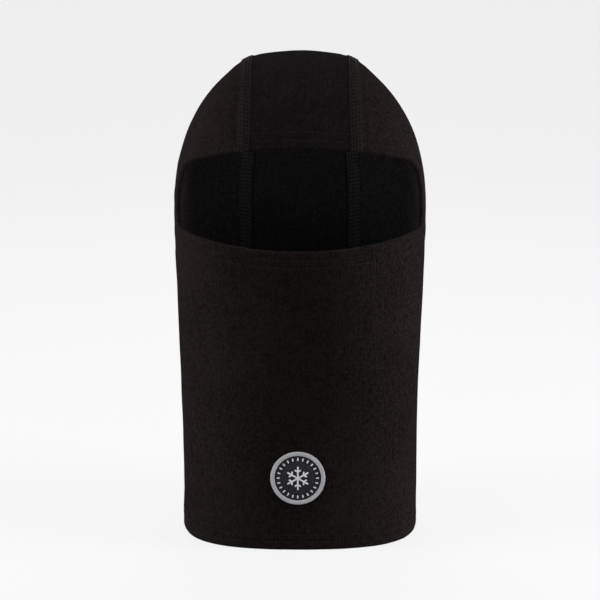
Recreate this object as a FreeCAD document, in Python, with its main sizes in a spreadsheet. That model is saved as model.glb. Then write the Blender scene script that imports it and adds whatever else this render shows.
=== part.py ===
"""Balaclava: a knitted hood that covers head and neck, with one eye opening.

Frame: +Z up, the face looks along -Y, the origin is the centre of the neck hem's
lower edge. Millimetres. The hood stands on its neck hem.
"""
import FreeCAD, Part
import math
import os

Vector = FreeCAD.Vector
Rotation = FreeCAD.Rotation
Placement = FreeCAD.Placement

doc = FreeCAD.newDocument("balaclava")


# ---------------------------------------------------------------- driving sizes
SIZES = [
    # outer skin of the hood, from the neck hem to the crown
    ("hood_tall", 345.0),
    ("head_level", 234.0),
    ("neck_half_width", 85.0),
    ("throat_half_width", 84.8),
    ("head_half_width", 89.0),
    ("neck_front", 67.5),
    ("neck_back", 67.0),
    ("throat_front", 66.5),
    ("throat_back", 65.0),
    ("head_front", 75.0),
    ("head_back", 75.0),
    ("dome_fullness", 0.58),
    ("corner_fullness", 1.20),
    # cloth
    ("cloth_thick", 1.8),
    ("hem_deep", 13.5),
    # eye opening
    ("opening_top", 281.2),
    ("opening_bottom", 212.2),
    ("brow_radius", 273.0),
    ("chin_radius", 317.0),
    ("opening_end", 31.0),
    ("brow_corner", 36.0),
    # crown strip, measured to the middle of each seam
    ("strip_brow", 38.6),
    ("strip_crown", 36.3),
    ("strip_back", 42.0),
    ("strip_straight", 21.0),
    # threads
    ("thread_wide", 0.6),
    ("thread_high", 0.25),
    ("needle_pitch", 2.1),
    ("looper_high", 0.35),
    ("hem_edge_margin", 2.1),
    ("hem_row_gap", 5.2),
    ("floor_gap", 0.4),
    # badge
    ("badge_radius", 19.0),
    ("badge_level", 52.8),
    ("badge_shift", -1.5),
    ("badge_base_high", 1.0),
    ("badge_rim_wide", 2.9),
    ("badge_rim_high", 0.6),
    ("badge_disc_radius", 10.9),
    ("badge_disc_high", 0.4),
    ("badge_tick_long", 2.2),
    ("badge_tick_wide", 0.9),
    ("badge_arm_long", 8.4),
    ("badge_arm_wide", 1.1),
    ("badge_branch_long", 5.2),
    # care label
    ("label_wide", 24.0),
    ("label_long", 38.0),
    ("label_thick", 0.5),
    ("label_top", 71.0),
    ("label_gap", 1.3),
    ("tack_gap", 1.0),
    ("tack_high", 2.0),
]

BADGE_TICKS = 24
BADGE_ARMS = 6
REACH = 140.0          # cutters reach this far past the hood's middle

sheet = doc.addObject("Spreadsheet::Sheet", "Sizes")
for number, (alias, value) in enumerate(SIZES, start=1):
    sheet.set("A%d" % number, alias)
    sheet.set("B%d" % number, str(value))
    sheet.setAlias("B%d" % number, alias)
doc.recompute()


def size(alias):
    """The present value of one cell."""
    return float(sheet.get(alias))


def bind(thing, **expressions):
    """Bind properties to expressions; a word in braces is a cell of the sheet."""
    for name, text in expressions.items():
        path = name.replace("__", ".")
        thing.setExpression(path, cells(text))
    return thing


def cells(text):
    """Write {alias} as Sizes.alias."""
    return text.replace("{", "Sizes.").replace("}", "")


def box(name, x_min, x_max, y_min, y_max, z_min, z_max):
    """A box between six expressions."""
    block = doc.addObject("Part::Box", name)
    bind(block, Length="(%s) - (%s)" % (x_max, x_min))
    bind(block, Width="(%s) - (%s)" % (y_max, y_min))
    bind(block, Height="(%s) - (%s)" % (z_max, z_min))
    bind(block, Placement__Base__x=x_min, Placement__Base__y=y_min, Placement__Base__z=z_min)
    return block


def cut(name, base, tool):
    piece = doc.addObject("Part::Cut", name)
    piece.Base = base
    piece.Tool = tool
    return piece


def common(name, base, tool):
    piece = doc.addObject("Part::Common", name)
    piece.Base = base
    piece.Tool = tool
    return piece


def fuse(name, shapes):
    piece = doc.addObject("Part::MultiFuse", name)
    piece.Shapes = shapes
    return piece


# ---------------------------------------------------------------- hood volumes
# The hood's skin is free-form: an oval tube that swells to the head and closes in
# a dome. Each quarter of it is two exact B-spline patches, tube and dome, whose
# rows are ovals. An inset of the same rows gives the inner skins and the layers
# on which threads and badge lie.

def tube_rows(inset):
    """(level, half width, front depth, back depth) of the rows from hem to head."""
    low = size("head_level") * 0.2
    middle = size("head_level") * 0.5
    high = size("head_level") * 0.78
    neck = (size("neck_half_width"), size("neck_front"), size("neck_back"))
    throat = (size("throat_half_width"), size("throat_front"), size("throat_back"))
    head = (size("head_half_width"), size("head_front"), size("head_back"))
    rows = [(0.0, neck), (low, neck), (middle, throat), (high, head), (size("head_level"), head)]
    return [(level,) + tuple(reach - inset for reach in oval) for level, oval in rows]


def dome_rows(inset):
    """The rows from the head's widest level to the crown, where they shrink to a point."""
    level = size("head_level")
    top = size("hood_tall") - inset
    full = size("dome_fullness")
    oval = [size(part) - inset for part in ("head_half_width", "head_front", "head_back")]
    return [
        (level,) + tuple(oval),
        (level + full * (top - level),) + tuple(oval),
        (top,) + tuple(full * reach for reach in oval),
        (top, 0.0, 0.0, 0.0),
    ]


def quarter_patch(rows, side, facing):
    """One quarter of the skin through the rows: side is -1 or 1, facing -1 front, 1 back."""
    poles = []
    weights = []
    for level, half_width, front, back in rows:
        depth = front if facing < 0 else back
        poles.append([
            Vector(side * half_width, 0, level),
            Vector(side * half_width, facing * depth, level),
            Vector(0, facing * depth, level),
        ])
        weights.append([1.0, size("corner_fullness"), 1.0])
    inner_knots = len(rows) - 4
    knots = [float(number) for number in range(inner_knots + 2)]
    repeats = [4] + [1] * inner_knots + [4]
    surface = Part.BSplineSurface()
    surface.buildFromPolesMultsKnots(
        poles, repeats, [3, 3], knots, [0.0, 1.0], False, False, 3, 2, weights)
    return surface


def hem_edge(rows, side, facing):
    """The quarter oval of the lowest row."""
    return quarter_patch(rows, side, facing).uIso(0.0).toShape()


def hood_volume(name, inset_text):
    """A closed solid whose skin lies inset inside the hood's outer skin."""
    inset = inset_value(inset_text)
    quarters = [(1, -1), (-1, -1), (-1, 1), (1, 1)]
    faces = []
    for side, facing in quarters:
        faces.append(quarter_patch(tube_rows(inset), side, facing).toShape())
        faces.append(quarter_patch(dome_rows(inset), side, facing).toShape())
    edges = [hem_edge(tube_rows(inset), side, facing) for side, facing in quarters]
    faces.append(Part.Face(Part.Wire(Part.__sortEdges__(edges))))
    shell = Part.makeShell(faces)
    shell.sewShape()
    solid = Part.makeSolid(Part.Shell(shell.Faces))
    if solid.Volume < 0:
        solid.reverse()
    volume = doc.addObject("Part::Feature", name)
    volume.Shape = solid
    return volume


def inset_value(text):
    """Work out an inset written with cell names in braces."""
    for alias, _ in SIZES:
        text = text.replace("{%s}" % alias, repr(size(alias)))
    return float(FreeCAD.Units.Quantity(text).Value)


outer_skin = hood_volume("outer_skin", "0")
inner_skin = hood_volume("inner_skin", "{cloth_thick}")
hem_skin = hood_volume("hem_skin", "2 * {cloth_thick}")
needle_skin = hood_volume("needle_skin", "-1 * {thread_high}")
cover_skin = hood_volume("cover_skin", "-2 * {thread_high}")
hem_thread_skin = hood_volume("hem_thread_skin", "-3 * {thread_high}")
seam_looper_skin = hood_volume("seam_looper_skin", "{cloth_thick} + {looper_high}")
hem_looper_skin = hood_volume("hem_looper_skin", "2 * {cloth_thick} + {looper_high}")
badge_base_skin = hood_volume("badge_base_skin", "-1 * {badge_base_high}")
badge_disc_skin = hood_volume("badge_disc_skin", "-1 * {badge_base_high} - {badge_disc_high}")
badge_rim_skin = hood_volume("badge_rim_skin", "-1 * {badge_base_high} - {badge_rim_high}")
badge_motif_skin = hood_volume("badge_motif_skin", "-1 * {badge_base_high} - 2 * {badge_disc_high}")


# ---------------------------------------------------------------- eye opening
def arch_cylinder(name, radius, centre_level):
    """A long cylinder along Y whose side is the curved brow or chin edge."""
    roller = doc.addObject("Part::Cylinder", name)
    bind(roller, Radius=radius, Height="%g" % REACH)
    roller.Placement = Placement(Vector(0, 0, 0), Rotation(Vector(1, 0, 0), 90))
    bind(roller, Placement__Base__z=centre_level)
    return roller


def end_window(name, grow):
    """The opening seen from the side: a block whose upper rear corner is round."""
    body = doc.addObject("PartDesign::Body", name)
    block = body.newObject("PartDesign::AdditiveBox", name + "_block")
    bind(
        block,
        Length="%g" % (2 * REACH),
        Width="%g - {opening_end} + %s" % (REACH, grow),
        Height="{opening_top} - {opening_bottom} + {brow_corner} + %s" % grow,
    )
    block.AttachmentSupport = [(plane_of(body, "XY_Plane"), "")]
    block.MapMode = "FlatFace"
    block.AttachmentOffset = Placement(Vector(-REACH, -REACH, 0), Rotation())
    bind(block, AttachmentOffset__Base__z="{opening_bottom} - {brow_corner}")
    doc.recompute()
    fillet = body.newObject("PartDesign::Fillet", name + "_corner")
    fillet.Base = (block, [upper_rear_edge(block.Shape)])
    bind(fillet, Radius="{brow_corner} + %s" % grow)
    return body


def plane_of(body, role):
    """An origin plane of the body, found by its role."""
    return [plane for plane in body.Origin.OriginFeatures if plane.Role == role][0]


def upper_rear_edge(shape):
    """Name of the highest and rearmost edge that runs along X."""
    best = None
    for number, edge in enumerate(shape.Edges, start=1):
        if edge.BoundBox.XLength < REACH:
            continue
        score = edge.CenterOfMass.y + edge.CenterOfMass.z
        if best is None or score > best[0]:
            best = (score, number)
    return "Edge%d" % best[1]


def opening_tool(name, grow):
    """The eye opening made larger all round by grow."""
    brow = arch_cylinder(name + "_brow", "{brow_radius} + %s" % grow, "{opening_top} - {brow_radius}")
    chin = arch_cylinder(name + "_chin", "{chin_radius} + %s" % grow, "{opening_bottom} + {chin_radius}")
    arches = common(name + "_arches", brow, chin)
    return common(name, arches, end_window(name + "_window", grow))


HALF_THREAD = "{thread_wide} / 2"
ROW_TWO = "({hem_deep} - {hem_edge_margin})"
ROW_ONE = "(%s - {hem_row_gap})" % ROW_TWO

opening = opening_tool("opening", "0")
opening_hem = opening_tool("opening_hem", "{hem_deep}")
face_row = {}
for row, grow in (("one", ROW_ONE), ("two", ROW_TWO)):
    outside = opening_tool("face_row_%s_outside" % row, "%s + %s" % (grow, HALF_THREAD))
    inside = opening_tool("face_row_%s_inside" % row, "%s - %s" % (grow, HALF_THREAD))
    face_row[row] = (outside, inside)


# ---------------------------------------------------------------- crown strip tool
def taper(name, z_min, z_max, low_half, high_half, y_min, y_max):
    """A block that narrows upwards: a wedge turned so that its taper runs along Z."""
    wedge = doc.addObject("Part::Wedge", name)
    wedge.Placement = Placement(Vector(0, 0, 0), Rotation(Vector(1, 0, 0), 90))
    bind(
        wedge,
        Ymin=z_min, Ymax=z_max,
        Xmin="-(%s)" % low_half, Xmax=low_half,
        X2min="-(%s)" % high_half, X2max=high_half,
        Zmin="-(%s)" % y_max, Zmax="-(%s)" % y_min,
        Z2min="-(%s)" % y_max, Z2max="-(%s)" % y_min,
    )
    return wedge


def strip_tool(name, grow):
    """Everything between the two long seams, made wider by grow on each side."""
    crown_half = "({strip_crown} + %s)" % grow
    brow_half = "({strip_brow} + %s)" % grow
    back_half = "({strip_back} + %s)" % grow
    straight = "({hood_tall} - {strip_straight})"
    middle = "(({opening_top} + {opening_bottom}) / 2)"
    far = "%g" % REACH
    crown = box(name + "_crown", "-" + crown_half, crown_half, "-" + far, far,
                straight, "({hood_tall} + {strip_straight})")
    brow = taper(name + "_brow", middle, straight, brow_half, crown_half, "-" + far, "0")
    nape = taper(name + "_nape", "{head_level}", straight, back_half, crown_half, "0", far)
    back = box(name + "_back", "-" + back_half, back_half, "0", far, "-5", "{head_level}")
    return fuse(name, [crown, brow, nape, back])


strip = strip_tool("strip", "0")
seam_half = "(1.5 * {needle_pitch} + {thread_wide})"
seam_outside = strip_tool("seam_outside", seam_half)
seam_inside = strip_tool("seam_inside", "-1 * " + seam_half)
seam_zone = cut("seam_zone", seam_outside, seam_inside)


# ---------------------------------------------------------------- cloth pieces
# One layer of brushed knit; the hems are the same cloth turned in once, so the
# wall is two layers there.
hem_slab = box("hem_slab", "-%g" % REACH, "%g" % REACH, "-%g" % REACH, "%g" % REACH,
               "-5", "{hem_deep}")
face_hem_block = cut("face_hem_block", opening_hem, hem_skin)
neck_hem_block = cut("neck_hem_block", hem_slab, hem_skin)
hollow_face = cut("hollow_face", inner_skin, face_hem_block)
hollow = cut("hollow", hollow_face, neck_hem_block)
closed_cloth = cut("closed_cloth", outer_skin, hollow)
cloth = cut("cloth", closed_cloth, opening)

wrap_panel = cut("wrap_panel", cloth, strip)
crown_strip = common("crown_strip", cloth, strip)
nodes = [wrap_panel, crown_strip]


# ---------------------------------------------------------------- long seam threads
side_blocks = {
    "left": box("left_block", "-%g" % REACH, "0", "-%g" % REACH, "%g" % REACH,
                "{floor_gap}", "{hood_tall} + 20"),
    "right": box("right_block", "0", "%g" % REACH, "-%g" % REACH, "%g" % REACH,
                 "{floor_gap}", "{hood_tall} + 20"),
}
needle_layer = cut("needle_layer_open", cut("needle_layer", needle_skin, outer_skin), opening)
cover_layer = cut("cover_layer_open", cut("cover_layer", cover_skin, needle_skin), opening)
seam_looper_wall = cut("seam_looper_wall", inner_skin, seam_looper_skin)
seam_looper_low = cut("seam_looper_low", seam_looper_wall, hem_slab)
seam_looper_layer = cut("seam_looper_layer", seam_looper_low, opening_hem)

NEEDLES = 4
for needle in range(NEEDLES):
    place = "((%g) * {needle_pitch})" % (needle - (NEEDLES - 1) / 2)
    outside = strip_tool("needle_%d_outside" % (needle + 1), "%s + %s" % (place, HALF_THREAD))
    inside = strip_tool("needle_%d_inside" % (needle + 1), "%s - %s" % (place, HALF_THREAD))
    track = cut("needle_%d_track" % (needle + 1), outside, inside)
    threads = common("needle_%d_threads" % (needle + 1), needle_layer, track)
    for side in ("left", "right"):
        name = "%s_seam_needle_thread_%d" % (side, needle + 1)
        nodes.append(common(name, threads, side_blocks[side]))

cover_threads = common("cover_threads", cover_layer, seam_zone)
looper_threads = common("looper_threads", seam_looper_layer, seam_zone)
for side in ("left", "right"):
    nodes.append(common(side + "_seam_cover_thread", cover_threads, side_blocks[side]))
    nodes.append(common(side + "_seam_looper_thread", looper_threads, side_blocks[side]))


# ---------------------------------------------------------------- hem threads
# Each needle thread runs on the outside and steps over the long seams' threads.
hem_thread_wall = cut("hem_thread_wall", hem_thread_skin, outer_skin)
seam_stack = common("seam_stack", cover_skin, seam_zone)
hem_thread_layer = cut("hem_thread_layer", hem_thread_wall, seam_stack)
hem_looper_layer = cut("hem_looper_layer", hem_skin, hem_looper_skin)

for number, row in ((1, "one"), (2, "two")):
    outside, inside = face_row[row]
    track = cut("face_track_%d" % number, outside, inside)
    nodes.append(common("face_hem_needle_thread_%d" % number, hem_thread_layer, track))
face_looper_track = cut("face_looper_track", face_row["two"][0], face_row["one"][1])
nodes.append(common("face_hem_looper_thread", hem_looper_layer, face_looper_track))

for number, level in ((1, ROW_ONE), (2, ROW_TWO)):
    track = box("neck_track_%d" % number, "-%g" % REACH, "%g" % REACH, "-%g" % REACH, "%g" % REACH,
                "%s - %s" % (level, HALF_THREAD), "%s + %s" % (level, HALF_THREAD))
    nodes.append(common("neck_hem_needle_thread_%d" % number, hem_thread_layer, track))
neck_looper_track = box("neck_looper_track", "-%g" % REACH, "%g" % REACH, "-%g" % REACH, "%g" % REACH,
                        "%s - %s" % (ROW_ONE, HALF_THREAD), "%s + %s" % (ROW_TWO, HALF_THREAD))
nodes.append(common("neck_hem_looper_thread", hem_looper_layer, neck_looper_track))


# ---------------------------------------------------------------- badge
# A round moulded patch on the front of the neck. Its parts are layers that follow
# the curved cloth: base, raised rim, raised middle disc, ticks and a frost star.
def badge_cylinder(name, radius):
    """A round bar along -Y at the badge's centre."""
    roller = doc.addObject("Part::Cylinder", name)
    bind(roller, Radius=radius, Height="%g" % REACH)
    roller.Placement = Placement(Vector(0, 0, 0), Rotation(Vector(1, 0, 0), 90))
    bind(roller, Placement__Base__x="{badge_shift}", Placement__Base__z="{badge_level}")
    return roller


def badge_bar(name, start, stop, wide, angle, around=None):
    """A bar along -Y from start to stop along one ray of the badge."""
    bar = doc.addObject("Part::Box", name)
    bind(bar, Length="(%s) - (%s)" % (stop, start), Width="%g" % REACH, Height=wide)
    turn = math.radians(angle)
    across, up = math.cos(turn), math.sin(turn)
    bar.Placement = Placement(Vector(0, -REACH, 0), Rotation(Vector(0, 1, 0), -angle))
    reach_x = "(%s) * %.9f + (%s) / 2 * %.9f" % (start, across, wide, up)
    reach_z = "(%s) * %.9f - (%s) / 2 * %.9f" % (start, up, wide, across)
    if around is not None:
        out = math.radians(around[1])
        reach_x += " + (%s) * %.9f" % (around[0], math.cos(out))
        reach_z += " + (%s) * %.9f" % (around[0], math.sin(out))
    bind(
        bar,
        Placement__Base__x="{badge_shift} + " + reach_x,
        Placement__Base__z="{badge_level} + " + reach_z,
    )
    return bar


badge_round = badge_cylinder("badge_round", "{badge_radius}")
badge_inside = badge_cylinder("badge_inside", "{badge_radius} - {badge_rim_wide}")
badge_middle = badge_cylinder("badge_middle", "{badge_disc_radius}")
badge_base_layer = cut("badge_base_layer", badge_base_skin, outer_skin)
badge_rim_layer = cut("badge_rim_layer", badge_rim_skin, badge_base_skin)
badge_disc_layer = cut("badge_disc_layer", badge_disc_skin, badge_base_skin)
badge_motif_layer = cut("badge_motif_layer", badge_motif_skin, badge_disc_skin)

nodes.append(common("badge_base", badge_base_layer, badge_round))
nodes.append(common("badge_rim", badge_rim_layer, cut("badge_rim_ring", badge_round, badge_inside)))
nodes.append(common("badge_disc", badge_disc_layer, badge_middle))

ticks = []
tick_start = "(({badge_radius} - {badge_rim_wide} + {badge_disc_radius} - {badge_tick_long}) / 2)"
for number in range(BADGE_TICKS):
    ticks.append(badge_bar("badge_tick_%d" % (number + 1), tick_start, tick_start + " + {badge_tick_long}",
                           "{badge_tick_wide}", number * 360.0 / BADGE_TICKS))
nodes.append(common("badge_ticks", badge_disc_layer, fuse("badge_tick_ring", ticks)))

bars = []
BRANCH_TURN = 60.0
for number in range(BADGE_ARMS):
    angle = 90 + number * 360.0 / BADGE_ARMS
    bars.append(badge_bar("badge_arm_%d" % (number + 1), "0", "{badge_arm_long}",
                          "{badge_arm_wide}", angle))
    for hand, turn in (("a", BRANCH_TURN), ("b", -BRANCH_TURN)):
        bars.append(badge_bar("badge_branch_%d%s" % (number + 1, hand), "0",
                              "{badge_branch_long} / 2", "{badge_arm_wide}", angle + turn,
                              around=("{badge_arm_long} * 0.55", angle)))
nodes.append(common("badge_star", badge_motif_layer, fuse("badge_star_bars", bars)))


# ---------------------------------------------------------------- care label
# A blank satin tape inside the centre back of the neck. Only its top edge is
# stitched, so it swings about that edge.
label_wall = "({throat_back} - {cloth_thick} - {label_gap})"
care_label = box("care_label", "-{label_wide} / 2", "{label_wide} / 2",
                 label_wall + " - {label_thick}", label_wall,
                 "{label_top} - {label_long}", "{label_top}")
tack_block = box("tack_block", "-{label_wide} / 2", "{label_wide} / 2",
                 label_wall + " - {label_thick}", "%g" % REACH,
                 "{label_top} + {tack_gap}", "{label_top} + {tack_gap} + {tack_high}")
nodes.append(care_label)
nodes.append(common("label_tack_thread", inner_skin, tack_block))


# ---------------------------------------------------------------- check and export
doc.recompute()

faults = []
for thing in doc.Objects:
    if "Invalid" in thing.State or "Error" in thing.State:
        faults.append("%s is %s" % (thing.Name, thing.State))
for node in nodes:
    node.Label = node.Name
    if node.Shape.isNull() or not node.Shape.isValid() or not node.Shape.Solids:
        faults.append("%s has no sound solid" % node.Name)
if faults:
    raise RuntimeError("; ".join(faults))

os.makedirs("parts", exist_ok=True)
for node in nodes:
    node.Shape.exportStep("parts/%s.step" % node.Label)
    print("%-32s %2d solid(s) %12.1f mm3" % (node.Label, len(node.Shape.Solids), node.Shape.Volume))
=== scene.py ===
import math
import random

import bmesh
import bpy
import numpy as np
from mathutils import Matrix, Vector
from mathutils.geometry import delaunay_2d_cdt


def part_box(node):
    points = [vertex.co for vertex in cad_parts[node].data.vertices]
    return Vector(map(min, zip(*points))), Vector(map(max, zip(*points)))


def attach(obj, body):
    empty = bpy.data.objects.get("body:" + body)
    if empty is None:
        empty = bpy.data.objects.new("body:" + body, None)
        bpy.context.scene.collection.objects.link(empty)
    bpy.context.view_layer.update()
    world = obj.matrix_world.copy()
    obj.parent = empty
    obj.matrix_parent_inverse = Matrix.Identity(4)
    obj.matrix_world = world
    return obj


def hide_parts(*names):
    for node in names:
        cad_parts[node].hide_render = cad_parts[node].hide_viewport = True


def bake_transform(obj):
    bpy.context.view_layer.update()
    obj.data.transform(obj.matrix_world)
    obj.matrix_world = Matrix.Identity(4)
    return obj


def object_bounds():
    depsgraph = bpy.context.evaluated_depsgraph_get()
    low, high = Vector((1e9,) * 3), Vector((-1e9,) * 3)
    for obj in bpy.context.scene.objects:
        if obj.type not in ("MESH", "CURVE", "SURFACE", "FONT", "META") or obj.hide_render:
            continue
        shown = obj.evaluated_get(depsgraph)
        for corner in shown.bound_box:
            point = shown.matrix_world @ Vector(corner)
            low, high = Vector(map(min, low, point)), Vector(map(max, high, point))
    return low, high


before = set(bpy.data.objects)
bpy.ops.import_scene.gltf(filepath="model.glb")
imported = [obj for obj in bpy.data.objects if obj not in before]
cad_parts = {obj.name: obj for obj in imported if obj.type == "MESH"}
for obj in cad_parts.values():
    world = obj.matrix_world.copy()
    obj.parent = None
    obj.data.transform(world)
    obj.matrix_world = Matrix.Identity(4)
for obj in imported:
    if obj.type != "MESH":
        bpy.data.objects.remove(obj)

cad_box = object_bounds()


# ---------------------------------------------------------------- studio
# A pale sweep of paper, a tall soft box a little forward of each side of the hood, a
# weak one overhead, one high behind and two small in front, as for a catalogue.
# The camera stands a little above the middle of the hood and looks down on it.
MM = 0.001

hood_tall = cad_box[1][2]

CAMERA_AWAY = 1.150
CAMERA_LIFT = math.radians(11.0)
CAMERA_LEVEL = 0.165
VIEW_WIDE = 432 * MM
SENSOR_WIDE = 36.0
AIR_FRONT = 0.12
AIR_ROUND = 0.66
AIR_SEEN = 0.88
PAPER_GLOW = 0.82


def new_finish(name):
    """An empty material, with its node tree and its shader."""
    material = bpy.data.materials.new(name)
    material.use_nodes = True
    return material, material.node_tree, material.node_tree.nodes["Principled BSDF"]


def new_piece(name, points, faces):
    """A smooth-shaded piece from points and faces."""
    mesh = bpy.data.meshes.new(name)
    mesh.from_pydata(points, [], faces)
    for face in mesh.polygons:
        face.use_smooth = True
    piece = bpy.data.objects.new(name, mesh)
    bpy.context.scene.collection.objects.link(piece)
    return piece


def add_sweep():
    """A floor that curves up into a wall behind the hood."""
    wide, near, far, rise, bend = 6.0, 3.0, 2.2, 3.0, 0.9
    outline = [(-near, 0.0)]
    for step in range(17):
        turn = math.pi / 2 * step / 16
        outline.append((far - bend + bend * math.sin(turn), bend - bend * math.cos(turn)))
    outline.append((far, rise))
    vertices = [(side * wide, y, z) for y, z in outline for side in (-1, 1)]
    faces = [(2 * n, 2 * n + 1, 2 * n + 3, 2 * n + 2) for n in range(len(outline) - 1)]
    sweep = new_piece("studio_sweep", vertices, faces)
    paper, _, shader = new_finish("sweep_paper")
    shader.inputs["Base Color"].default_value = (0.02, 0.02, 0.02, 1.0)
    shader.inputs["Roughness"].default_value = 0.9
    shader.inputs["Emission Color"].default_value = (1.0, 1.0, 1.0, 1.0)
    shader.inputs["Emission Strength"].default_value = PAPER_GLOW
    sweep.data.materials.append(paper)


def add_soft_box(name, place, aim, wide, tall, power):
    """A rectangular area light at place, turned towards aim."""
    lamp = bpy.data.lights.new(name, "AREA")
    lamp.shape = "RECTANGLE"
    lamp.size = wide
    lamp.size_y = tall
    lamp.energy = power
    holder = bpy.data.objects.new(name, lamp)
    holder.location = place
    holder.rotation_euler = (Vector(aim) - Vector(place)).to_track_quat("-Z", "Y").to_euler()
    bpy.context.scene.collection.objects.link(holder)


def add_camera():
    """The camera, aimed at the middle of the hood from a little above it."""
    camera = bpy.data.cameras.new("camera")
    camera.sensor_width = SENSOR_WIDE
    camera.lens = SENSOR_WIDE * CAMERA_AWAY / VIEW_WIDE
    holder = bpy.data.objects.new("camera", camera)
    aim = Vector((0.0, 0.0, CAMERA_LEVEL))
    back = Vector((0.0, -math.cos(CAMERA_LIFT), math.sin(CAMERA_LIFT)))
    holder.location = aim + CAMERA_AWAY * back
    holder.rotation_euler = (-back).to_track_quat("-Z", "Y").to_euler()
    bpy.context.scene.collection.objects.link(holder)
    bpy.context.scene.camera = holder


add_sweep()
middle = (0.0, 0.0, 0.5 * hood_tall)
for side, place, wide, tall, power in (
    ("left", (-1.15, -0.26, 0.45), 0.5, 1.5, 42.0),
    ("right", (1.15, -0.26, 0.45), 0.5, 1.5, 52.0),
    ("top", (0.0, -0.1, 1.6), 1.3, 1.3, 6.0),
    ("back", (0.0, 1.3, 1.05), 1.2, 0.5, 9.0),
    ("front_left", (-1.2, -1.5, 0.45), 0.5, 0.7, 3.6),
    ("front_right", (1.2, -1.5, 0.45), 0.5, 0.7, 2.6),
):
    add_soft_box("soft_box_" + side, place, middle, wide, tall, power)
add_camera()

studio_air = bpy.data.worlds.new("studio_air")
studio_air.use_nodes = True
air = studio_air.node_tree
direction = air.nodes.new("ShaderNodeTexCoord")
split_air = air.nodes.new("ShaderNodeSeparateXYZ")
air_glow = air.nodes.new("ShaderNodeMapRange")
air_glow.inputs["From Min"].default_value = -0.75
air_glow.inputs["From Max"].default_value = 0.25
air_glow.inputs["To Min"].default_value = AIR_FRONT
air_glow.inputs["To Max"].default_value = AIR_ROUND
air.links.new(direction.outputs["Generated"], split_air.inputs[0])
air.links.new(split_air.outputs[1], air_glow.inputs["Value"])
sight = air.nodes.new("ShaderNodeLightPath")
seen = air.nodes.new("ShaderNodeMix")
seen.inputs["B"].default_value = AIR_SEEN
air.links.new(sight.outputs["Is Camera Ray"], seen.inputs["Factor"])
air.links.new(air_glow.outputs["Result"], seen.inputs["A"])
air.links.new(seen.outputs["Result"], air.nodes["Background"].inputs["Strength"])
air.nodes["Background"].inputs["Color"].default_value = (1.0, 1.0, 1.0, 1.0)
bpy.context.scene.world = studio_air
bpy.context.scene.view_settings.view_transform = "Standard"


# ---------------------------------------------------------------- the hood's form
# Every cloth piece and thread lies on one form: an oval tube that swells from the
# neck to the head and closes in a dome. Its levels are a smooth spline through
# the rows below, and each level is an oval made of four conic arcs.
HEAD_LEVEL = 234 * MM
NECK_OVAL = (85 * MM, 67.5 * MM, 67 * MM)
THROAT_OVAL = (84.8 * MM, 66.5 * MM, 65 * MM)
HEAD_OVAL = (89 * MM, 75 * MM, 75 * MM)
DOME_FULLNESS = 0.58
CORNER_FULLNESS = 1.20
CROWN_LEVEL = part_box("crown_strip")[1][2]


def bezier(p0, p1, p2, p3, part):
    """Points of one cubic arc."""
    part = part[:, None]
    keep = 1.0 - part
    return keep**3 * p0 + 3 * keep**2 * part * p1 + 3 * keep * part**2 * p2 + part**3 * p3


def meridian_table(count=1600):
    """Rows of (level, half width, front depth, back depth) from the hem to the crown."""
    rows = [
        (0.0, *NECK_OVAL),
        (0.20 * HEAD_LEVEL, *NECK_OVAL),
        (0.50 * HEAD_LEVEL, *THROAT_OVAL),
        (0.78 * HEAD_LEVEL, *HEAD_OVAL),
        (HEAD_LEVEL, *HEAD_OVAL),
    ]
    rows = [np.array(row) for row in rows]
    low = (rows[1] + rows[2]) / 2
    high = (rows[2] + rows[3]) / 2
    joint = (low + high) / 2
    rise = CROWN_LEVEL - HEAD_LEVEL
    oval = np.array(HEAD_OVAL)
    shoulder = np.array([HEAD_LEVEL + DOME_FULLNESS * rise, *oval])
    brow = np.array([CROWN_LEVEL, *(DOME_FULLNESS * oval)])
    crown = np.array([CROWN_LEVEL, 0.0, 0.0, 0.0])
    part = np.linspace(0.0, 1.0, count)
    return np.concatenate([
        bezier(rows[0], rows[1], low, joint, part),
        bezier(joint, high, rows[3], rows[4], part)[1:],
        bezier(rows[4], shoulder, brow, crown, part)[1:],
    ])


MERIDIAN = meridian_table()
along_side = np.hypot(np.diff(MERIDIAN[:, 0]), np.diff(MERIDIAN[:, 1]))
MERIDIAN_LENGTH = np.concatenate([[0.0], np.cumsum(along_side)])


def oval_reach(turn):
    """How far the unit oval reaches in direction turn."""
    across = np.abs(np.cos(turn))
    up = np.abs(np.sin(turn))
    fullness = 4 * CORNER_FULLNESS**2
    square = (across + up) ** 2 - fullness * across * up
    linear = (across + up) * (fullness - 2)
    constant = 1 - fullness
    return -2 * constant / (linear + np.sqrt(linear**2 - 4 * square * constant))


def on_form(turn, length):
    """The form's point at an angle round the axis and a length up the side."""
    level, wide, front, back = [
        np.interp(length, MERIDIAN_LENGTH, MERIDIAN[:, column]) for column in range(4)
    ]
    reach = oval_reach(turn)
    depth = np.where(np.sin(turn) < 0, front, back)
    place = (wide * reach * np.cos(turn), depth * reach * np.sin(turn), level)
    return np.stack(np.broadcast_arrays(*place), axis=-1)


def outside_form(points):
    """Positive outside the form, negative inside."""
    x, y, z = np.abs(points[..., 0]), points[..., 1], points[..., 2]
    wide = np.interp(z, MERIDIAN[:, 0], MERIDIAN[:, 1])
    front = np.interp(z, MERIDIAN[:, 0], MERIDIAN[:, 2])
    back = np.interp(z, MERIDIAN[:, 0], MERIDIAN[:, 3])
    depth = np.where(y < 0, front, back)
    wide = np.maximum(wide, 1e-7)
    depth = np.maximum(depth, 1e-7)
    turn = np.arctan2(np.abs(y) / depth, x / wide)
    size = np.hypot(x / wide, y / depth) / oval_reach(turn) - 1.0
    return np.where(z > CROWN_LEVEL, z - CROWN_LEVEL + 1e-6, size)


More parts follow.
